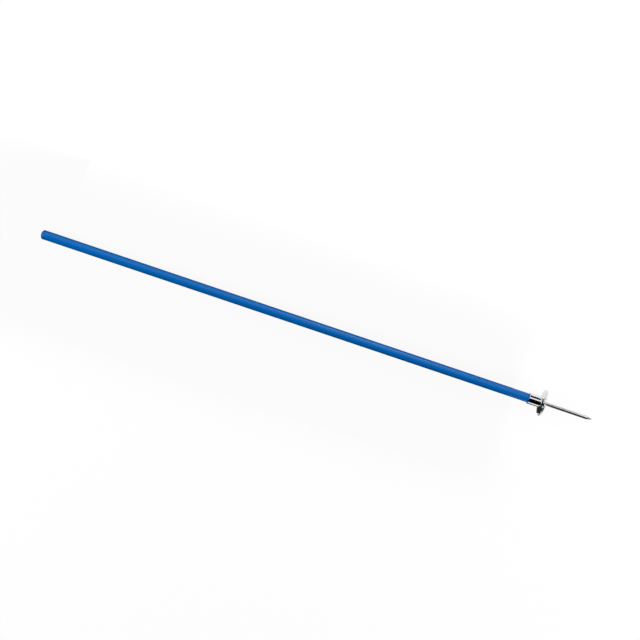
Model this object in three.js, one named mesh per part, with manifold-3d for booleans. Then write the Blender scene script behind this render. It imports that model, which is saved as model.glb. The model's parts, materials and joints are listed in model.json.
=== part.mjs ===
// A slalom pole for training: a plastic pole pushed into a plated steel cup, over a step disc and a ground
// spike. Millimetres. The pole is built upright on +Z with the underside of the step disc, where the turf is,
// at zero, and is then laid on the floor as when put down: on the rim of the disc and on the end cap.

import * as THREE from 'three';
import { mergeVertices } from 'three/addons/utils/BufferGeometryUtils.js';
import Module from 'manifold-3d';

const wasm = await Module();
wasm.setup();

// Whole pole
const HEIGHT_OVER_TURF = 1524;
const SPIKE_DEPTH = 152.4;

// Play between pieces: between faces that bear on each other, and round a pin or tube in its hole
const SEAT_GAP = 0.3;
const FIT_GAP = 0.3;

// Pole tube, a stock plastic pipe
const TUBE_DIAMETER = 26.7;
const TUBE_WALL = 2.9;
const TUBE_END_CHAMFER = 0.8;

// End cap: a domed head flush with the tube, and a hollow skirt with ring fins that grip the bore
const CAP_DOME_HEIGHT = 7.6;
const CAP_LIP_HEIGHT = 1.5;
const CAP_WALL = 1.8;
const CAP_SKIRT_LENGTH = 22;
const CAP_LEAD_LENGTH = 3;
const CAP_LEAD_DEPTH = 0.8;
const CAP_FIN_HEIGHT = 1;
const CAP_FIN_THICKNESS = 0.6;
const CAP_FIN_COUNT = 4;

// Socket cup, turned from bar
const CUP_LENGTH = 41.5;
const CUP_WALL = 2.85;
const CUP_FLOOR = 5;
const CUP_LIP_ROUND = 0.8;
const CUP_LEAD_IN = 1;

// Step disc, turned from plate
const DISC_DIAMETER = 78;
const DISC_THICKNESS = 5;
const DISC_EDGE_ROUND = 1.8;

// Spike, turned from rod, with a threaded stud above its shoulder
const SPIKE_DIAMETER = 10;
const SPIKE_POINT_LENGTH = 15;
const SPIKE_TIP_DIAMETER = 2.4;
const SPIKE_SHOULDER = 1;
const SPIKE_EDGE_CHAMFER = 0.3;
const STUD_NECK_LENGTH = 2;
const STUD_NECK_DEPTH = 0.7;
const STUD_PROUD = 3.5;
const STUD_CHAMFER = 0.9;

// Hexagon nut and split lock washer
const NUT_ACROSS_FLATS = 13;
const NUT_HEIGHT = 6.5;
const NUT_FACE_SHARE = 0.95;
const NUT_CHAMFER_ANGLE_DEG = 30;
const NUT_COUNTERSINK = 0.6;
const WASHER_RING_WIDTH = 3.1;
const WASHER_THICKNESS = 2;
const WASHER_SPLIT = 1;
const WASHER_SPLIT_LEAN_SHARE = 0.6;

// Facets round a turned piece, sides of the nut, steps in rounded corners and in the dome, and how far a
// cut runs over
const SIDES = 32;
const NUT_SIDES = 6;
const CORNER_STEPS = 4;
const SHOULDER_STEPS = 8;
const DOME_STEPS = 8;
const CUT_OVERRUN = 1;

const QUARTER_TURN = Math.PI / 2;

// Radii and levels that follow from the sizes above
const tubeRadius = TUBE_DIAMETER / 2;
const boreRadius = tubeRadius - TUBE_WALL;
const socketRadius = tubeRadius + FIT_GAP;
const cupRadius = socketRadius + CUP_WALL;
const discRadius = DISC_DIAMETER / 2;
const spikeRadius = SPIKE_DIAMETER / 2;
const studRadius = spikeRadius - SPIKE_SHOULDER;
const studHoleRadius = studRadius + FIT_GAP;

const cupBase = DISC_THICKNESS + SEAT_GAP;
const cupFloorTop = cupBase + CUP_FLOOR;
const washerBase = cupFloorTop + SEAT_GAP;
const nutBase = washerBase + WASHER_THICKNESS + SEAT_GAP;
const nutTop = nutBase + NUT_HEIGHT;
const studTop = nutTop + STUD_PROUD;
const capLipTop = HEIGHT_OVER_TURF - CAP_DOME_HEIGHT;
const capLipBase = capLipTop - CAP_LIP_HEIGHT;
const tubeBase = cupFloorTop + SEAT_GAP;
const tubeTop = capLipBase - SEAT_GAP;

const bluePlastic = new THREE.MeshStandardMaterial({ color: 0x0b5fae, roughness: 0.42, metalness: 0 });
const brightPlate = new THREE.MeshStandardMaterial({ color: 0xdfe2e3, roughness: 0.06, metalness: 1 });
const drawnSteel = new THREE.MeshStandardMaterial({ color: 0xa9acae, roughness: 0.22, metalness: 1 });
const zincPlate = new THREE.MeshStandardMaterial({ color: 0xb4b9bc, roughness: 0.35, metalness: 1 });

// A point of a turned profile: its radius and its height on the axis.
function at(radius, height) {
  return new THREE.Vector2(radius, height);
}

// Points on an elliptical quarter or other arc, from one angle to another, in steps.
function arc(centreRadius, centreHeight, across, up, from, to, steps) {
  return Array.from({ length: steps + 1 }, (_, i) => {
    const angle = from + ((to - from) * i) / steps;
    return at(centreRadius + across * Math.cos(angle), centreHeight + up * Math.sin(angle));
  });
}

// A turned piece on the Z axis. Its profile goes up the outside and either starts and ends on the axis or
// comes back down the bore. A flat of the facets, not an edge, faces each of the four sides.
function turned(profile, closesOnItself) {
  const outline = closesOnItself ? [...profile, profile[0]] : profile;
  return new THREE.LatheGeometry(outline, SIDES, Math.PI / SIDES).rotateX(QUARTER_TURN);
}

// A solid for cutting and joining, from a closed geometry.
function solid(geometry) {
  const bare = geometry.clone();
  bare.deleteAttribute('normal');
  bare.deleteAttribute('uv');
  const merged = mergeVertices(bare);
  const mesh = new wasm.Mesh({
    numProp: 3,
    vertProperties: new Float32Array(merged.attributes.position.array),
    triVerts: new Uint32Array(merged.index.array),
  });
  mesh.merge();
  return new wasm.Manifold(mesh);
}

// The geometry of a cut or joined solid.
function geometryOf(body) {
  const mesh = body.getMesh();
  const geometry = new THREE.BufferGeometry();
  geometry.setAttribute('position', new THREE.BufferAttribute(mesh.vertProperties, mesh.numProp));
  geometry.setIndex(new THREE.BufferAttribute(mesh.triVerts, 1));
  geometry.computeVertexNormals();
  return geometry;
}

function piece(name, geometry, material, height) {
  const mesh = new THREE.Mesh(geometry, material);
  mesh.name = name;
  mesh.position.z = height;
  return mesh;
}

// The tube is cut square, with its outer edge broken at the cup's end so that it starts into the socket.
function poleTube() {
  const length = tubeTop - tubeBase;
  return turned([
    at(boreRadius, 0),
    at(tubeRadius - TUBE_END_CHAMFER, 0),
    at(tubeRadius, TUBE_END_CHAMFER),
    at(tubeRadius, length),
    at(boreRadius, length),
  ], true);
}

// The cap's profile is drawn from the tube's end, at zero: the skirt goes down the bore and the head stands
// above. Each fin rises to the bore, leans towards the skirt's end so that it slides in, and stops square.
function topCap() {
  const finTip = boreRadius - FIT_GAP;
  const core = finTip - CAP_FIN_HEIGHT;
  const hollow = core - CAP_WALL;
  const finPitch = (CAP_SKIRT_LENGTH - CAP_LEAD_LENGTH) / CAP_FIN_COUNT;
  const skirtEnd = -CAP_SKIRT_LENGTH;
  const fins = Array.from({ length: CAP_FIN_COUNT }, (_, i) => {
    const foot = skirtEnd + CAP_LEAD_LENGTH + finPitch * i;
    const tip = foot + finPitch / 2;
    const back = tip + CAP_FIN_THICKNESS;
    return [at(core, foot), at(finTip, tip), at(finTip, back), at(core, back)];
  }).flat();
  return turned([
    at(hollow, skirtEnd),
    at(core - CAP_LEAD_DEPTH, skirtEnd),
    ...fins,
    at(core, 0),
    at(tubeRadius, 0),
    ...arc(0, CAP_LIP_HEIGHT, tubeRadius, CAP_DOME_HEIGHT, 0, QUARTER_TURN, DOME_STEPS),
    ...arc(0, CAP_LIP_HEIGHT, hollow, CAP_DOME_HEIGHT - CAP_WALL, QUARTER_TURN, 0, DOME_STEPS),
  ], true);
}

// The cup's outer shoulder is as large as wall and floor together, which leaves the metal at the corner of
// the socket about as thick as the wall.
function socketCup() {
  const shoulder = CUP_WALL + CUP_FLOOR;
  return turned([
    at(studHoleRadius, 0),
    ...arc(cupRadius - shoulder, shoulder, shoulder, shoulder, -QUARTER_TURN, 0, SHOULDER_STEPS),
    ...arc(cupRadius - CUP_LIP_ROUND, CUP_LENGTH - CUP_LIP_ROUND, CUP_LIP_ROUND, CUP_LIP_ROUND,
      0, QUARTER_TURN, CORNER_STEPS),
    at(socketRadius + CUP_LEAD_IN, CUP_LENGTH),
    at(socketRadius, CUP_LENGTH - CUP_LEAD_IN),
    at(socketRadius, CUP_FLOOR),
    at(studHoleRadius, CUP_FLOOR),
  ], true);
}

// Both edges of the disc are rounded, each by no more than half its thickness. The underside is parted just
// outside the spike's shoulder, because only the ring beyond it lies on the turf.
function stepDisc() {
  const round = Math.min(DISC_EDGE_ROUND, DISC_THICKNESS / 2);
  const rim = discRadius - round;
  return turned([
    at(studHoleRadius, 0),
    at(spikeRadius + SEAT_GAP, 0),
    ...arc(rim, round, round, round, -QUARTER_TURN, 0, CORNER_STEPS),
    ...arc(rim, DISC_THICKNESS - round, round, round, 0, QUARTER_TURN, CORNER_STEPS),
    at(studHoleRadius, DISC_THICKNESS),
  ], true);
}

// The spike's profile is drawn from its shoulder, at zero, which bears on the underside of the disc: the rod
// and its ground point below, and the relieved neck and the stud above.
function groundSpike() {
  const rodLength = SPIKE_DEPTH - SEAT_GAP;
  const studLength = studTop + SEAT_GAP;
  return turned([
    at(0, -rodLength),
    at(SPIKE_TIP_DIAMETER / 2, -rodLength),
    at(spikeRadius, SPIKE_POINT_LENGTH - rodLength),
    at(spikeRadius, -SPIKE_EDGE_CHAMFER),
    at(spikeRadius - SPIKE_EDGE_CHAMFER, 0),
    at(studRadius - STUD_NECK_DEPTH, 0),
    at(studRadius - STUD_NECK_DEPTH, STUD_NECK_LENGTH - STUD_NECK_DEPTH),
    at(studRadius, STUD_NECK_LENGTH),
    at(studRadius, studLength - STUD_CHAMFER),
    at(studRadius - STUD_CHAMFER, studLength),
    at(0, studLength),
  ], false);
}

// A ring with a leaning cut through it, clamped flat.
function lockWasher() {
  const ring = turned([
    at(studHoleRadius, 0),
    at(studHoleRadius + WASHER_RING_WIDTH, 0),
    at(studHoleRadius + WASHER_RING_WIDTH, WASHER_THICKNESS),
    at(studHoleRadius, WASHER_THICKNESS),
  ], true);
  const lean = WASHER_THICKNESS * WASHER_SPLIT_LEAN_SHARE;
  const half = WASHER_SPLIT / 2;
  const low = -CUT_OVERRUN;
  const high = WASHER_THICKNESS + CUT_OVERRUN;
  const slit = new THREE.Shape([
    at(-half - lean, low),
    at(half - lean, low),
    at(half + lean, high),
    at(lean - half, high),
  ]);
  const reach = studHoleRadius + WASHER_RING_WIDTH + CUT_OVERRUN;
  const cutter = new THREE.ExtrudeGeometry(slit, { depth: reach, bevelEnabled: false });
  return geometryOf(solid(ring).subtract(solid(cutter.rotateX(QUARTER_TURN))));
}

// A hexagon bar with its corners turned off at both faces, and a countersunk hole.
function hexNut() {
  const cornerRadius = NUT_ACROSS_FLATS / 2 / Math.cos(Math.PI / NUT_SIDES);
  const corners = Array.from({ length: NUT_SIDES }, (_, i) => {
    const angle = (2 * Math.PI * i) / NUT_SIDES;
    return at(cornerRadius * Math.cos(angle), cornerRadius * Math.sin(angle));
  });
  const hexagon = new THREE.Shape(corners);
  const bar = new THREE.ExtrudeGeometry(hexagon, { depth: NUT_HEIGHT, bevelEnabled: false });
  const faceRadius = (NUT_ACROSS_FLATS / 2) * NUT_FACE_SHARE;
  const reach = cornerRadius + CUT_OVERRUN;
  const drop = (reach - faceRadius) * Math.tan(THREE.MathUtils.degToRad(NUT_CHAMFER_ANGLE_DEG));
  const facing = turned([
    at(0, 0),
    at(faceRadius, 0),
    at(reach, drop),
    at(reach, NUT_HEIGHT - drop),
    at(faceRadius, NUT_HEIGHT),
    at(0, NUT_HEIGHT),
  ], false);
  const sink = studHoleRadius + NUT_COUNTERSINK + CUT_OVERRUN;
  const hole = turned([
    at(0, -CUT_OVERRUN),
    at(sink, -CUT_OVERRUN),
    at(studHoleRadius, NUT_COUNTERSINK),
    at(studHoleRadius, NUT_HEIGHT - NUT_COUNTERSINK),
    at(sink, NUT_HEIGHT + CUT_OVERRUN),
    at(0, NUT_HEIGHT + CUT_OVERRUN),
  ], false);
  return geometryOf(solid(bar).intersect(solid(facing)).subtract(solid(hole)));
}

const pole = new THREE.Group();
pole.add(
  piece('pole_tube', poleTube(), bluePlastic, tubeBase),
  piece('top_cap', topCap(), bluePlastic, capLipBase),
);

const base = new THREE.Group();
base.add(
  piece('socket_cup', socketCup(), brightPlate, cupBase),
  piece('step_disc', stepDisc(), brightPlate, 0),
  piece('spike', groundSpike(), drawnSteel, -SEAT_GAP),
  piece('lock_washer', lockWasher(), zincPlate, washerBase),
  piece('spike_nut', hexNut(), zincPlate, nutBase),
);

// Laid down, the pole rests on the disc's rim and on the cap's lip, so it leans by the angle of the line that
// touches both. Facets bear on their flats, which lie a little inside the radius.
const flatShare = Math.cos(Math.PI / SIDES);
const rimHeight = DISC_THICKNESS - Math.min(DISC_EDGE_ROUND, DISC_THICKNESS / 2);
const lean = Math.atan(((discRadius - tubeRadius) * flatShare) / (capLipTop - rimHeight));

const laid = new THREE.Group();
laid.add(pole, base);
laid.rotation.y = -(QUARTER_TURN + lean);

const slalomPole = new THREE.Group();
slalomPole.add(laid);
slalomPole.updateMatrixWorld(true);
const box = new THREE.Box3().setFromObject(slalomPole, true);
const middle = box.getCenter(new THREE.Vector3());
laid.position.set(-middle.x, -middle.y, -box.min.z);
slalomPole.updateMatrixWorld(true);

export default slalomPole;
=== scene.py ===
import json
import math

import bpy
import numpy as np
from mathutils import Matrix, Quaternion, Vector


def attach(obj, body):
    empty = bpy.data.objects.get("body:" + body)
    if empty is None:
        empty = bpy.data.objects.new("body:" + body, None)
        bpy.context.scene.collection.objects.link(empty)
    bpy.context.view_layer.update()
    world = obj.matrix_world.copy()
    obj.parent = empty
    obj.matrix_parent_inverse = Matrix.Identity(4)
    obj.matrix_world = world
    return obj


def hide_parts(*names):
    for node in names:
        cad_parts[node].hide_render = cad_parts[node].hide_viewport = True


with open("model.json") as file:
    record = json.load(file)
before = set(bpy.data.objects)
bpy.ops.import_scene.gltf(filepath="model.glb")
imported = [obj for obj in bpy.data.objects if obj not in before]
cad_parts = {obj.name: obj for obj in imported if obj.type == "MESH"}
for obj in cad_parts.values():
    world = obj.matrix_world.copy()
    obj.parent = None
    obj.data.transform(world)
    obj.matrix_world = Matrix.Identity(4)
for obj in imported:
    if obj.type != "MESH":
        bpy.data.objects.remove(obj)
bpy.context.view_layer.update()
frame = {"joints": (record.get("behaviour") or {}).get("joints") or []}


# POLE TUBE
# A stick of 26.7 mm plastic pipe, extruded in royal blue right through, so it keeps fine lines along its length.
# It is sawn square, and its lower edge is broken so that it starts into the cup, which holds it by a push fit.

# How the pole lies: from the turf line, the middle of the disc's underside, it runs along the way that it is pulled.
turf = np.array((0.6856924, 0.0, 0.0388607))
up_the_pole = np.array(frame["joints"][0]["axis"])
off_the_floor = np.array((up_the_pole[2], 0.0, -up_the_pole[0]))
lying = np.array((off_the_floor, (0.0, 1.0, 0.0), up_the_pole))
tilt = -math.acos(up_the_pole[2])

tube_outside, tube_bore = 13.35, 10.45
tube_foot, tube_head, foot_chamfer = 10.6, 1514.6, 0.8
sawn_edge, chamfer_edge, bore_edge = 0.12, 0.25, 0.2
royal_blue = (0.0006, 0.115, 0.41, 1)
plastic_gloss = 0.22
sharp_from = math.radians(32)


def eased(corners, cuts, steps=9):
    """A profile with its corners rounded. An arc of a circle stands for each corner and starts and ends one cut
    away from it, on its two sides. It is the rational quadratic curve from the start by way of the corner to the
    end, where the corner's weight is the sine of half the angle between the sides. A cut of 0 keeps the corner."""
    corners, cuts = np.array(corners, float), np.array(cuts, float)[:, None]
    before, after = np.roll(corners, 1, 0) - corners, np.roll(corners, -1, 0) - corners
    before /= np.linalg.norm(before, axis=1, keepdims=True)
    after /= np.linalg.norm(after, axis=1, keepdims=True)
    weight = np.sqrt((1 - (before * after).sum(1)) / 2)[:, None, None]
    t = np.linspace(0, 1, steps)[None, :, None]
    start, end = (corners + cuts * before)[:, None], (corners + cuts * after)[:, None]
    by_corner = 2 * t * (1 - t) * weight
    rounded = ((1 - t) ** 2 * start + by_corner * corners[:, None] + t ** 2 * end) / (
        (1 - t) ** 2 + by_corner + t ** 2)
    rounded = rounded.reshape(-1, 2)
    return rounded[np.linalg.norm(rounded - np.roll(rounded, 1, 0), axis=1) > 1e-6]


def turned(radius, height, sides=144):
    """A grid of points round the pole's axis, in millimetres up the planted pole from the turf. Each row stands at
    its height, and a point is its radius times the cosine and the sine of its column's angle away from the axis.
    The radius may also change from column to column."""
    angle = np.linspace(0, 2 * np.pi, sides, endpoint=False)
    radius, height = np.asarray(radius), np.asarray(height)
    if radius.ndim == 1:
        radius, height = radius[:, None], height[:, None]
    return np.stack(np.broadcast_arrays(radius * np.cos(angle), radius * np.sin(angle), height), axis=-1)


def skin(name, grid, joined):
    """A closed skin over a grid of points in millimetres, laid down with the pole: the turf line's place plus each
    point's three numbers times the three directions that lying holds. Four neighbours make a face, and each row
    closes on itself. Joined, the last row goes on into the first. If not, a fan of triangles from the middle of the
    first and of the last row closes that end."""
    rows, columns = grid.shape[:2]
    points = grid.reshape(-1, 3)
    number = np.arange(rows * columns).reshape(rows, columns)
    ring = np.vstack((number, number[:1])) if joined else number
    low, high = ring[:-1], ring[1:]
    faces = np.stack((low, np.roll(low, -1, 1), np.roll(high, -1, 1), high), axis=-1).reshape(-1, 4).tolist()
    if not joined:
        first, last = number[0], number[-1]
        foot, head = np.full(columns, len(points)), np.full(columns, len(points) + 1)
        faces += np.stack((foot, np.roll(first, -1), first), axis=-1).tolist()
        faces += np.stack((head, last, np.roll(last, -1)), axis=-1).tolist()
        points = np.vstack((points, grid[[0, -1]].mean(axis=1)))
    mesh = bpy.data.meshes.new(name)
    mesh.from_pydata((turf + 0.001 * points @ lying).tolist(), [], faces)
    mesh.shade_smooth()
    mesh.set_sharp_from_angle(angle=sharp_from)
    made = bpy.data.objects.new(name, mesh)
    bpy.context.scene.collection.objects.link(made)
    return made


def node(tree, kind, inputs=None, **settings):
    """A shader node with its settings. Of its inputs, a socket is linked and anything else is set as a value."""
    made = tree.nodes.new("ShaderNode" + kind)
    for setting, value in settings.items():
        setattr(made, setting, value)
    for key, value in (inputs or {}).items():
        if isinstance(value, bpy.types.NodeSocket):
            tree.links.new(value, made.inputs[key])
        else:
            made.inputs[key].default_value = value
    return made


def surface(name, **values):
    """A new material with these values on its shader. Returns it, its node tree and its shader."""
    material = bpy.data.materials.new(name)
    material.use_nodes = True
    shader = material.node_tree.nodes["Principled BSDF"]
    for socket, value in values.items():
        shader.inputs[socket.replace("_", " ")].default_value = value
    return material, material.node_tree, shader


def upright(tree):
    """The place on the piece in metres along the planted pole's own axes, turned back from how it lies."""
    place = node(tree, "TexCoord").outputs["Object"]
    return node(tree, "Mapping", {"Vector": place, "Location": turf, "Rotation": (0, tilt, 0)},
                vector_type="TEXTURE").outputs["Vector"]


def grain(tree, place, per_metre, detail=2.0):
    """Noise from 0 to 1. It has so many lumps to the metre along each axis, and few of them make it a streak."""
    stretched = node(tree, "Mapping", {"Vector": place, "Scale": per_metre}).outputs["Vector"]
    return node(tree, "TexNoise", {"Vector": stretched, "Scale": 1.0, "Detail": detail}).outputs["Fac"]


def between(tree, value, low, high, from_low=0.3, from_high=0.7):
    """A value carried in a straight line from one range into another, and held at its ends."""
    return node(tree, "MapRange", {"Value": value, "From Min": from_low, "From Max": from_high,
                                   "To Min": low, "To Max": high}).outputs["Result"]


def combined(tree, operation, *values):
    """Two values, each a socket or a number, put together by a sum, a product or the larger of both."""
    return node(tree, "Math", dict(enumerate(values)), operation=operation).outputs["Value"]


def relief(tree, height, millimetres, under=None):
    """A bump of that depth, on top of the bump under it."""
    inputs = {"Height": height, "Distance": 0.001 * millimetres}
    if under is not None:
        inputs["Normal"] = under
    return node(tree, "Bump", inputs).outputs["Normal"]


extruded, tree, shader = surface("extruded_blue_plastic", Specular_IOR_Level=plastic_gloss)
place = upright(tree)
shade = between(tree, grain(tree, place, (30, 30, 2.5)), 0.955, 1.045)
blue = node(tree, "HueSaturation", {"Color": royal_blue, "Value": shade}).outputs["Color"]
die_lines = grain(tree, place, (1300, 1300, 2.2), 3.0)
haze = grain(tree, place, (45, 45, 9), 3.0)
rubs = between(tree, grain(tree, place, (70, 70, 1700)), 0, 1, 0.66, 0.74)
in_the_cup = between(tree, node(tree, "SeparateXYZ", {"Vector": place}).outputs["Z"], 0.16, 0.02, 0.046, 0.052)
roughness = combined(tree, "ADD", between(tree, haze, 0.2, 0.28), combined(tree, "MULTIPLY", rubs, in_the_cup))
bumps = relief(tree, rubs, -0.004, relief(tree, die_lines, 0.014, relief(tree, haze, 0.05)))
for socket, value in (("Base Color", blue), ("Roughness", roughness), ("Normal", bumps)):
    tree.links.new(value, shader.inputs[socket])

profile = eased([(tube_bore, tube_foot), (tube_outside - foot_chamfer, tube_foot),
                 (tube_outside, tube_foot + foot_chamfer), (tube_outside, tube_head), (tube_bore, tube_head)],
                [bore_edge, chamfer_edge, chamfer_edge, sawn_edge, sawn_edge])
tube = skin("tube", turned(*profile.T), joined=True)
tube.data.materials.append(extruded)
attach(tube, "pole")
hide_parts("pole_tube")


# END CAP
# A plug moulded in the same blue plastic and pressed into the top of the tube. Its domed head is flush with the
# tube and shows the mark where the mould was filled, and four ring fins on its hollow skirt grip the bore.

cap_seat = 1514.9
lip, dome, wall = 1.5, 7.6, 1.8
fin_tip, core = 10.15, 9.15
hollow = core - wall
skirt, skirt_taper, lead = 22.0, 0.8, 3.0
fin_count, fin_pitch, fin_thickness = 4, 4.75, 0.6
skirt_edge, fin_edge, fin_foot_edge, lip_edge = 0.25, 0.15, 0.1, 0.2
gate_mark, mark_depth, mark_slope = 2.2, 0.3, 0.2
nub_rim, nub_top, nub_edge = 1.1, 0.6, 0.05
last_ring = 0.3


def domed(across, up, start, end, steps=28):
    """A quarter of an ellipse between two angles, as radius and height: the half axes times the cosine and the sine
    of the angle, standing on the lip."""
    angle = np.linspace(start, end, steps)
    return np.stack((across * np.cos(angle), lip + up * np.sin(angle)), axis=-1)


# Each fin slopes out from the core to its tip over half the pitch, runs along its thickness and drops square back.
fin_feet = lead - skirt + fin_pitch * np.arange(fin_count)
fin_out = np.full((fin_count, 4), core) + (fin_tip - core) * np.array((0, 1, 1, 0))
fin_up = fin_feet[:, None] + np.array((0, 1, 1, 1)) * fin_pitch / 2 + np.array((0, 0, 1, 1)) * fin_thickness
fins = np.stack((fin_out, fin_up), axis=-1).reshape(-1, 2)
fin_edges = [fin_edge, fin_edge, fin_edge, fin_foot_edge] * fin_count
rim_of_mark = math.acos(gate_mark / tube_outside)
mark = lip + dome * math.sin(rim_of_mark)
inside = domed(hollow, dome - wall, math.acos(last_ring / hollow), 0)
sleeve = eased([(hollow, lip), (hollow, -skirt), (core - skirt_taper, -skirt), *fins, (core, 0), (tube_outside, 0),
                (tube_outside, lip)], [0, skirt_edge, skirt_edge, *fin_edges, lip_edge, lip_edge, 0], steps=5)
outside = domed(tube_outside, dome, 0, rim_of_mark)
nub = np.array([(gate_mark - mark_slope, mark - mark_depth), (nub_rim, mark - mark_depth),
                (nub_rim - mark_slope, mark - nub_edge), (nub_top, mark), (last_ring, mark)])
profile = np.concatenate((inside, sleeve[1:-1], outside, nub))

moulded, tree, shader = surface("moulded_blue_plastic", Base_Color=royal_blue, Specular_IOR_Level=plastic_gloss)
place = upright(tree)
spark = grain(tree, place, (1500, 1500, 1500))
sink = grain(tree, place, (80, 80, 80))
tree.links.new(between(tree, sink, 0.24, 0.32), shader.inputs["Roughness"])
tree.links.new(relief(tree, spark, 0.008, relief(tree, sink, 0.08)), shader.inputs["Normal"])

end_cap = skin("end_cap", turned(profile[:, 0], cap_seat + profile[:, 1]), joined=False)
end_cap.data.materials.append(moulded)
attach(end_cap, "pole")
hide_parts("top_cap")


# SOCKET CUP
# Turned from steel bar, polished and bright plated: a straight bore for the tube, a lead-in at the mouth, a
# large round shoulder at the disc end and a drilled floor. Its faint turning marks run round it.

cup_outside, cup_bore, stud_hole = 16.5, 13.65, 4.3
cup_base, cup_mouth, cup_floor = 5.3, 46.8, 10.3
shoulder, lip_round, lead_in = 7.85, 0.8, 1.0
hole_edge, mouth_edge, lead_in_edge, floor_round = 0.2, 0.15, 0.2, 0.5
plate_colour = (0.76, 0.775, 0.78, 1)


def bright_plate(name, marks, wear_starts, rim_starts=1.0):
    """Bright plate over polished steel. Turning marks so many millimetres deep are noise on the distance from the
    axis and the height, so they run round the piece. A slow ripple bends its reflections, and handling has left
    hairlines and dull patches, most of them further from the axis than the wear starts, in metres. A rim that starts
    at its own distance from the axis is left as turned under its plate, so it is duller than the polished faces."""
    material, tree, shader = surface(name, Base_Color=plate_colour, Metallic=1.0)
    place = upright(tree)
    flat = node(tree, "VectorMath", {0: place, 1: (1, 1, 0)}, operation="MULTIPLY").outputs["Vector"]
    from_axis = node(tree, "VectorMath", {0: flat}, operation="LENGTH").outputs["Value"]
    height = node(tree, "SeparateXYZ", {"Vector": place}).outputs["Z"]
    round_it = node(tree, "CombineXYZ", {"X": from_axis, "Z": height}).outputs["Vector"]
    rings = grain(tree, round_it, (5200, 1, 5200))
    ripple = grain(tree, place, (95, 95, 95), 1.0)
    hairlines = between(tree, grain(tree, place, (160, 4200, 900)), 0, 1, 0.67, 0.72)
    patches = between(tree, grain(tree, place, (110, 110, 110), 4.0), 0, 1, 0.5, 0.75)
    worn = between(tree, from_axis, 0.25, 1, wear_starts - 0.002, wear_starts + 0.001)
    dull = combined(tree, "MULTIPLY", combined(tree, "ADD", hairlines, patches), worn)
    as_turned = between(tree, from_axis, 0, 0.3, rim_starts, rim_starts + 0.0008)
    roughness = combined(tree, "ADD", between(tree, dull, 0.045, 0.15, 0, 1.2), as_turned)
    tree.links.new(roughness, shader.inputs["Roughness"])
    bumps = relief(tree, rings, marks, relief(tree, ripple, 0.012))
    tree.links.new(relief(tree, hairlines, -0.0015, bumps), shader.inputs["Normal"])
    return material


profile = eased([(stud_hole, cup_base), (cup_outside, cup_base), (cup_outside, cup_mouth),
                 (cup_bore + lead_in, cup_mouth), (cup_bore, cup_mouth - lead_in), (cup_bore, cup_floor),
                 (stud_hole, cup_floor)],
                [hole_edge, shoulder, lip_round, mouth_edge, lead_in_edge, floor_round, hole_edge], steps=21)
cup = skin("cup", turned(*profile.T), joined=True)
cup.data.materials.append(bright_plate("bright_plate_cup", marks=0.0006, wear_starts=0.0155))
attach(cup, "base")
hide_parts("socket_cup")


# STEP DISC
# A 78 mm round turned from 5 mm steel plate, its faces polished, its rim well rounded and left as turned, and all of
# it bright plated. It is clamped between the cup and the spike, and takes the foot that presses the spike into the
# turf, so its faces are a little marked.

disc_radius, disc_thickness, disc_edge = 39.0, 5.0, 1.8
profile = eased([(stud_hole, 0), (disc_radius, 0), (disc_radius, disc_thickness), (stud_hole, disc_thickness)],
                [hole_edge, disc_edge, disc_edge, hole_edge])
disc = skin("disc", turned(*profile.T, sides=192), joined=True)
disc.data.materials.append(bright_plate("bright_plate_disc", marks=0.0003, wear_starts=0.036, rim_starts=0.038))
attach(disc, "base")
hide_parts("step_disc")


# GROUND SPIKE
# Cold drawn 10 mm steel rod, plated, with a point ground on its lower end. Its upper end is turned down at a
# shoulder to an M8 stud, with a relieved neck below the thread, which goes up through the disc and the cup.

spike_radius, spike_tip, tip_radius, point = 5.0, -152.4, 1.2, 15.0
tip_round, point_round, shoulder_edge, neck_fillet = 0.3, 1.2, 0.3, 0.25
shoulder_level, stud_radius, neck_radius = -0.3, 4.0, 3.3
neck_top, stud_chamfer, stud_top, stud_face = 1.0, 0.9, 22.9, 1.5
pitch, thread_depth, thread_start, rows_a_pitch = 1.25, 0.68, 0.7, 14
grind_fades = 0.4
steel_colour = (0.52, 0.53, 0.54, 1)


def threaded(height, crest, depth, sides):
    """The radius of a right-hand thread at each height, all round it. It depends on the height over the pitch less
    the share of a turn. In each pitch it goes down from the crest to the root and back up in straight flanks, with
    an eighth of the pitch flat at the crest and a quarter at the root."""
    turn = np.linspace(0, 1, sides, endpoint=False)
    along = np.mod(height[:, None] / pitch - turn, 1)
    return crest - depth * np.interp(np.abs(along - 0.5) * 2, (0, 0.125, 0.75, 1), (0, 0, 1, 1))


rod = eased([(last_ring, spike_tip), (tip_radius, spike_tip), (spike_radius, spike_tip + point),
             (spike_radius, shoulder_level), (neck_radius, shoulder_level), (neck_radius, neck_top)],
            [0, tip_round, point_round, shoulder_edge, neck_fillet, 0], steps=7)
stud_height = np.arange(neck_top, stud_top, pitch / rows_a_pitch)
envelope = np.interp(stud_height, (neck_top, neck_top + thread_start, stud_top - stud_chamfer, stud_top),
                     (neck_radius, stud_radius, stud_radius, stud_radius - stud_chamfer))
sides = 96
stud = np.minimum(envelope[:, None], threaded(stud_height, stud_radius, thread_depth, sides))
end = np.array([(stud_radius - stud_chamfer, stud_top), (stud_face, stud_top)])

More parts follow.
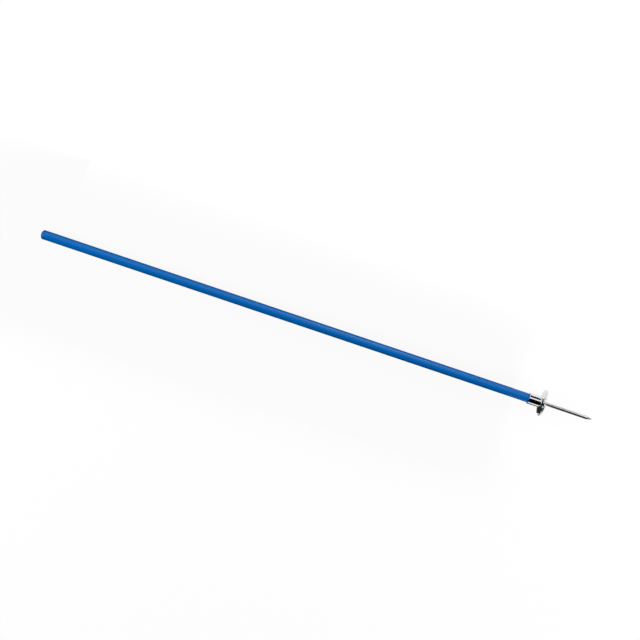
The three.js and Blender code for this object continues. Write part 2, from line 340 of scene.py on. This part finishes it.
drawn, tree, shader = surface("drawn_steel_ground_point", Base_Color=steel_colour, Metallic=1.0)
place = upright(tree)
height = node(tree, "SeparateXYZ", {"Vector": place}).outputs["Z"]
on_the_point = between(tree, height, 1, 0, 0.001 * (spike_tip + point - grind_fades),
                       0.001 * (spike_tip + point + grind_fades))
draw_marks = grain(tree, place, (1500, 1500, 12), 3.0)
grind_marks = grain(tree, place, (60, 60, 4500))
marks = node(tree, "Mix", {"Factor": on_the_point, "A": draw_marks, "B": grind_marks}).outputs["Result"]
soil_rub = between(tree, grain(tree, place, (260, 260, 40), 4.0), 0, 1, 0.5, 0.7)
roughness = combined(tree, "ADD", between(tree, marks, 0.13, 0.25), combined(tree, "MULTIPLY", soil_rub, 0.07))
tree.links.new(roughness, shader.inputs["Roughness"])
tree.links.new(relief(tree, marks, 0.006), shader.inputs["Normal"])

whole = (turned(*rod.T, sides=sides), turned(stud, stud_height[:, None], sides), turned(*end.T, sides=sides))
ground_spike = skin("ground_spike", np.concatenate(whole), joined=False)
ground_spike.data.materials.append(drawn)
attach(ground_spike, "base")
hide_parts("spike")


# SPLIT LOCK WASHER
# A ring of square spring steel wire, cut through on a slant and zinc plated. It lies on the cup's floor, and the
# nut has pressed it nearly flat.

washer_inside, washer_outside, washer_base, washer_top = 4.35, 7.4, 10.6, 12.6
wire_edge, split, slant, spring = 0.2, 1.0, 0.6, 0.08
washer_rows = 97
zinc_colour = (0.5, 0.52, 0.54, 1)


def zinc_plate(name):
    """Bright zinc plate: a soft metal skin with a fine crystal grain, and stains a few millimetres wide that dull it.
    Both are noise on the place."""
    material, tree, shader = surface(name, Base_Color=zinc_colour, Metallic=1.0)
    place = upright(tree)
    crystals = grain(tree, place, (1800, 1800, 1800), 3.0)
    stain = grain(tree, place, (240, 240, 240), 3.0)
    tree.links.new(between(tree, stain, 0.28, 0.42), shader.inputs["Roughness"])
    tree.links.new(relief(tree, crystals, 0.004), shader.inputs["Normal"])
    return material


# The wire's section is carried round the axis from one side of the split to the other and rises a little as it goes.
# A point is turned further round by the slant times its height in the section, which slants the split.
section = eased([(washer_inside, washer_base), (washer_inside, washer_top), (washer_outside, washer_top),
                 (washer_outside, washer_base)], [wire_edge] * 4, steps=5)
middle_radius, middle_height = (washer_inside + washer_outside) / 2, (washer_base + washer_top) / 2
half_gap = split / 2 / middle_radius
along = np.linspace(0, 1, washer_rows)[:, None]
angle = (-np.pi / 2 + half_gap + along * (2 * np.pi - 2 * half_gap)
         + slant * (section[:, 1] - middle_height) / middle_radius)
ring = np.stack((section[:, 0] * np.cos(angle), section[:, 0] * np.sin(angle),
                 section[:, 1] + spring * (2 * along - 1)), axis=-1)
lock_washer = skin("split_washer", ring, joined=False)
lock_washer.data.materials.append(zinc_plate("zinc_plate_washer"))
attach(lock_washer, "base")
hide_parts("lock_washer")


# SPIKE NUT
# An M8 nut, 13 mm across flats, cold formed, chamfered at both faces, tapped and zinc plated. Inside the cup, it
# draws the spike's shoulder up against the disc and clamps disc, cup and washer together.

flats, nut_base, nut_top, face_share = 13.0, 12.9, 19.4, 0.95
nut_chamfer, chamfer_angle = 0.8, math.radians(30)
tap_radius, tap_depth, tap_mouth, tap_lead = 4.55, 0.45, 4.9, 0.6
nut_sides = 144


def hexagon(reach):
    """The radius of a hexagon bar all round it, but nowhere more than the reach. It is half the size across flats
    over the cosine of the angle from the middle of the nearest flat."""
    turn = np.linspace(0, 2 * np.pi, nut_sides, endpoint=False)
    bar = flats / 2 / np.cos(np.mod(turn, np.pi / 3) - np.pi / 6)
    return np.minimum(bar, np.asarray(reach)[:, None])


face = flats / 2 * face_share
chamfer = np.linspace(0, nut_chamfer, 9)
reach = face + chamfer / math.tan(chamfer_angle)
tap_height = np.arange(nut_top - tap_lead, nut_base + tap_lead, -pitch / rows_a_pitch)
tapped, mouth = threaded(tap_height, tap_radius, tap_depth, nut_sides), hexagon([tap_mouth])
profile_radius = np.concatenate((hexagon(reach), hexagon(reach[::-1]), mouth, tapped, mouth))
profile_height = np.concatenate((nut_base + chamfer, nut_top - chamfer[::-1], [nut_top], tap_height, [nut_base]))
spike_nut = skin("hex_nut", turned(profile_radius, profile_height[:, None], nut_sides), joined=True)
spike_nut.data.materials.append(zinc_plate("zinc_plate_nut"))
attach(spike_nut, "base")
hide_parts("spike_nut")


# STUDIO
# The pole lies on a plain white floor in a white room, lit by three soft boxes. Cards that the camera doesn't see
# give the bright plate its bands: black ones beside, below and above it, and one bright one above the disc. Two dark
# ones lying flat on the floor under the disc and by the spike are painted shadow, which shows only in what is
# reflected.


def panel(name, corners):
    """One flat face by way of these corners, which belongs to the studio and not to the part."""
    mesh = bpy.data.meshes.new(name)
    mesh.from_pydata(corners, [], [range(len(corners))])
    made = bpy.data.objects.new(name, mesh)
    bpy.context.scene.collection.objects.link(made)
    return made


def plain(name):
    """A new material with nothing in it yet. Returns it and its node tree."""
    material = bpy.data.materials.new(name)
    material.use_nodes = True
    material.node_tree.nodes.clear()
    return material, material.node_tree


def by_ray(tree, camera, glossy, other):
    """One value for camera rays, one for glossy and transmission rays, and one for all others."""
    ray = node(tree, "LightPath").outputs
    mirrored = combined(tree, "MAXIMUM", ray["Is Glossy Ray"], ray["Is Transmission Ray"])
    seen = node(tree, "Mix", {"Factor": mirrored, "A": other, "B": glossy}).outputs["Result"]
    return node(tree, "Mix", {"Factor": ray["Is Camera Ray"], "A": seen, "B": camera}).outputs["Result"]


white, floor_paint = (1, 1, 1, 1), (0.92, 0.92, 0.92, 1)
floor_level, floor_reach = -0.0002, 30
glow_seen, glow_mirrored = 0.92, 0.65

white_floor, tree = plain("white_floor")
paint = node(tree, "BsdfDiffuse", {"Color": floor_paint}).outputs["BSDF"]
glow = node(tree, "Emission", {"Color": white, "Strength": 1.0}).outputs["Emission"]
share = by_ray(tree, camera=glow_seen, glossy=glow_mirrored, other=0.0)
mixed = node(tree, "MixShader", {"Fac": share, 1: paint, 2: glow}).outputs["Shader"]
node(tree, "OutputMaterial", {"Surface": mixed})
floor = panel("floor", [(x * floor_reach, y * floor_reach, floor_level)
                        for x, y in ((-1, -1), (1, -1), (1, 1), (-1, 1))])
floor.data.materials.append(white_floor)

black, painted_shadow_grey = (0.0015, 0.0015, 0.0015, 1), (0.04, 0.04, 0.04, 1)
bright_strength = 2.6


def card(name, finish, corners, shades=False):
    """A card that the camera doesn't see and that throws no shadow. Its finish is a colour, or a number for one that
    glows so bright, where 1 is white. One that shades also keeps the room's light from rough surfaces. The others
    show only in what is reflected."""
    material, tree = plain(name)
    if isinstance(finish, tuple):
        face = node(tree, "BsdfDiffuse", {"Color": finish}).outputs["BSDF"]
    else:
        face = node(tree, "Emission", {"Color": white, "Strength": finish}).outputs["Emission"]
    node(tree, "OutputMaterial", {"Surface": face})
    made = panel(name, corners)
    made.data.materials.append(material)
    made.visible_camera = False
    made.visible_shadow = False
    made.visible_diffuse = shades


card("card_beside", black, [(-3, -2.0, 0), (4, -2.0, 0), (4, -0.15, 2), (-3, -0.15, 2)], shades=True)
card("card_near", black, [(-1.1, -0.01, 0), (0.6, -0.01, 0), (0.6, -0.25, 0.08), (-1.1, -0.25, 0.08)], shades=True)
card("card_far", black, [(-1.1, 0.01, 0), (0.6, 0.01, 0), (0.6, 0.25, 0.08), (-1.1, 0.25, 0.08)], shades=True)
card("card_at_the_cap", black, [(-0.775, -0.25, 0), (-0.775, 0.25, 0), (-1.1, 0.25, 0.08), (-1.1, -0.25, 0.08)],
     shades=True)
# Painted shadow: these two dark cards lie flat on the floor under the disc and by the spike in place of the floor's
# shade there, and show only in the plate's reflections.
card("painted_shadow_under_the_disc", painted_shadow_grey, [(0.6, -0.082, 0), (0.705, -0.082, 0), (0.705, -0.036, 0), (0.668, -0.036, 0),
                        (0.668, -0.0275, 0), (0.683, -0.0275, 0), (0.683, -0.002, 0), (0.6, -0.002, 0)])
card("painted_shadow_by_the_spike", painted_shadow_grey, [(0.82, -0.5, 0), (0.98, -0.5, 0), (0.9, -0.002, 0), (0.705, -0.002, 0)])
card("card_above", black, [(0.95, 0.82, 2), (1.3, 0.82, 2), (1.65, 3.3, 1.7), (0.95, 3.3, 1.7)])
card("card_beyond", black, [(2.4, -0.4, 2), (5.5, -0.4, 2), (5.5, 2.4, 2), (2.75, 2.4, 2)])
card("bright_card", bright_strength, [(1.3, 0.3, 2), (2.3, 0.3, 2), (3.0, 3.2, 2), (1.85, 3.2, 2)])

world = bpy.data.worlds.new("white_room")
world.use_nodes = True
background = world.node_tree.nodes["Background"]
background.inputs["Color"].default_value = white
background.inputs["Strength"].default_value = 1.0
world.cycles.sampling_method = "NONE"
bpy.context.scene.world = world


def soft_box(name, place, aim, width, length, brightness):
    """A soft box that shows as this bright, where 1 is white. Its power is that times pi and its area."""
    light = bpy.data.lights.new(name, "AREA")
    light.shape = "RECTANGLE"
    light.size, light.size_y = width, length
    light.energy = brightness * math.pi * width * length
    made = bpy.data.objects.new(name, light)
    made.location = place
    made.rotation_euler = (Vector(aim) - Vector(place)).to_track_quat("-Z", "Y").to_euler()
    made.visible_camera = False
    bpy.context.scene.collection.objects.link(made)


soft_box("box_by_the_cap", (-2.6, -1.2, 1.6), (-0.3, 0, 0), width=1.6, length=1.6, brightness=7.3)
soft_box("box_by_the_spike", (2.8, -1.2, 1.6), (0.3, 0, 0), width=1.6, length=1.6, brightness=6.3)
soft_box("box_along_the_pole", (0.49, 1.9, 1.7), (0.2, 0, 0), width=1.0, length=1.2, brightness=3.1)


# CAMERA
# It looks down on the lying pole from near overhead, a little from the cap's end, and is turned so that the pole runs
# across the picture. Its bearing, its elevation over the floor and its roll are in degrees.

aim = Vector((-0.0128, 0.0209, 0.03))
distance, lens = 5.157, 101.25
bearing, elevation, roll = (math.radians(angle) for angle in (-36.66, 76.24, 54.71))
back = Vector((math.cos(elevation) * math.sin(bearing), -math.cos(elevation) * math.cos(bearing), math.sin(elevation)))
camera = bpy.data.objects.new("camera", bpy.data.cameras.new("camera"))
camera.data.lens = lens
camera.location = aim + distance * back
camera.rotation_euler = ((-back).to_track_quat("-Z", "Y") @ Quaternion((0, 0, 1), roll)).to_euler()
bpy.context.scene.collection.objects.link(camera)
bpy.context.scene.camera = camera
bpy.context.scene.view_settings.view_transform = "Standard"
